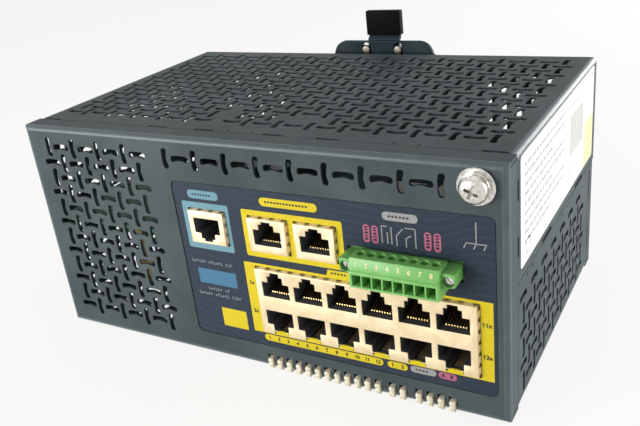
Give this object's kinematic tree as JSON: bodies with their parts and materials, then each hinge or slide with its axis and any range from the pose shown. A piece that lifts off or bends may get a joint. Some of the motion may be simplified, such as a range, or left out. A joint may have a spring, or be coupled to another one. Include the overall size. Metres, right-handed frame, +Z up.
{
  "type": "din rail ethernet switch",
  "caption": "Vented sheet-metal network switch box with modular jacks, a screw-terminal plug and a sprung rail adapter on its back.",
  "frame": {"origin": "centre of the case's underside", "axes": "+X to the right as seen from the front, +Y to the rear, +Z up; the front faces -Y"},
  "size_m": [0.2062, 0.1548, 0.1134],
  "materials": {
    "case_paint": "fine-textured matte powder coat",
    "label_navy": "satin printed film",
    "label_white": "satin film",
    "shell_metal": "tin-plated, satin",
    "jack_plastic": "moulded, satin",
    "contact_gold": "gold flash",
    "plug_green": "moulded, satin",
    "pin_tin": "tinned",
    "screw_nickel": "nickel-plated, satin",
    "pipe_clear": "milky, satin",
    "diode": "moulded lens",
    "board_green": "solder mask",
    "post_brass": "turned",
    "chip_black": "moulded epoxy",
    "sink_black": "black anodised",
    "core_grey": "ferrite",
    "can_blue": "sleeved can",
    "relay_white": "moulded",
    "adapter_paint": "fine-textured matte powder coat",
    "saddle_black": "moulded, glass-filled",
    "spring_steel": "bright wire"
  },
  "bodies": {
    "case": {"front_panel": "case_paint", "top_cover": "case_paint", "lower_chassis": "case_paint", "rear_panel": "case_paint", "front_label": "label_navy", "side_label": "label_white", "port_block_shell": "shell_metal", "port_block_insert": "jack_plastic", "port_block_contacts": "contact_gold", "console_jack_shell": "shell_metal", "console_jack_insert": "jack_plastic", "console_jack_contacts": "contact_gold", "uplink_1_jack_shell": "shell_metal", "uplink_1_jack_insert": "jack_plastic", "uplink_1_jack_contacts": "contact_gold", "uplink_2_jack_shell": "shell_metal", "uplink_2_jack_insert": "jack_plastic", "uplink_2_jack_contacts": "contact_gold", "terminal_header": "plug_green", "terminal_header_pins": "pin_tin", "terminal_plug": "plug_green", "terminal_clamp_screws": "screw_nickel", "terminal_flange_screws": "screw_nickel", "ground_screw": "screw_nickel", "ground_flat_washer": "screw_nickel", "ground_lock_washer": "screw_nickel", "port_light_pipes": "pipe_clear", "uplink_light_pipes": "pipe_clear", "status_light_pipes": "pipe_clear", "light_chips": "diode", "lower_board": "board_green", "upper_board": "board_green", "power_board": "board_green", "lower_board_posts": "post_brass", "upper_board_posts": "post_brass", "board_screws": "screw_nickel", "switch_chip": "chip_black", "heat_sink": "sink_black", "line_magnetics": "chip_black", "memory_chips": "chip_black", "power_transformer": "core_grey", "power_inductor": "core_grey", "power_capacitors": "can_blue", "alarm_relays": "relay_white", "adapter_plate": "adapter_paint", "rail_saddle_left": "saddle_black", "rail_saddle_right": "saddle_black", "adapter_screws": "screw_nickel", "latch_spring": "spring_steel"},
    "latch": {"latch_slider": "adapter_paint", "latch_pins": "pin_tin", "latch_grip": "jack_plastic"}
  },
  "joints": [
    {"name": "latch_slide", "type": "slide", "parent": "case", "child": "latch", "axis": [0, 0, -1], "range_m": [0, 0.006], "stiffness_N_per_m": 600, "springref_m": -0.002, "deforming": ["latch_spring"]}
  ]
}
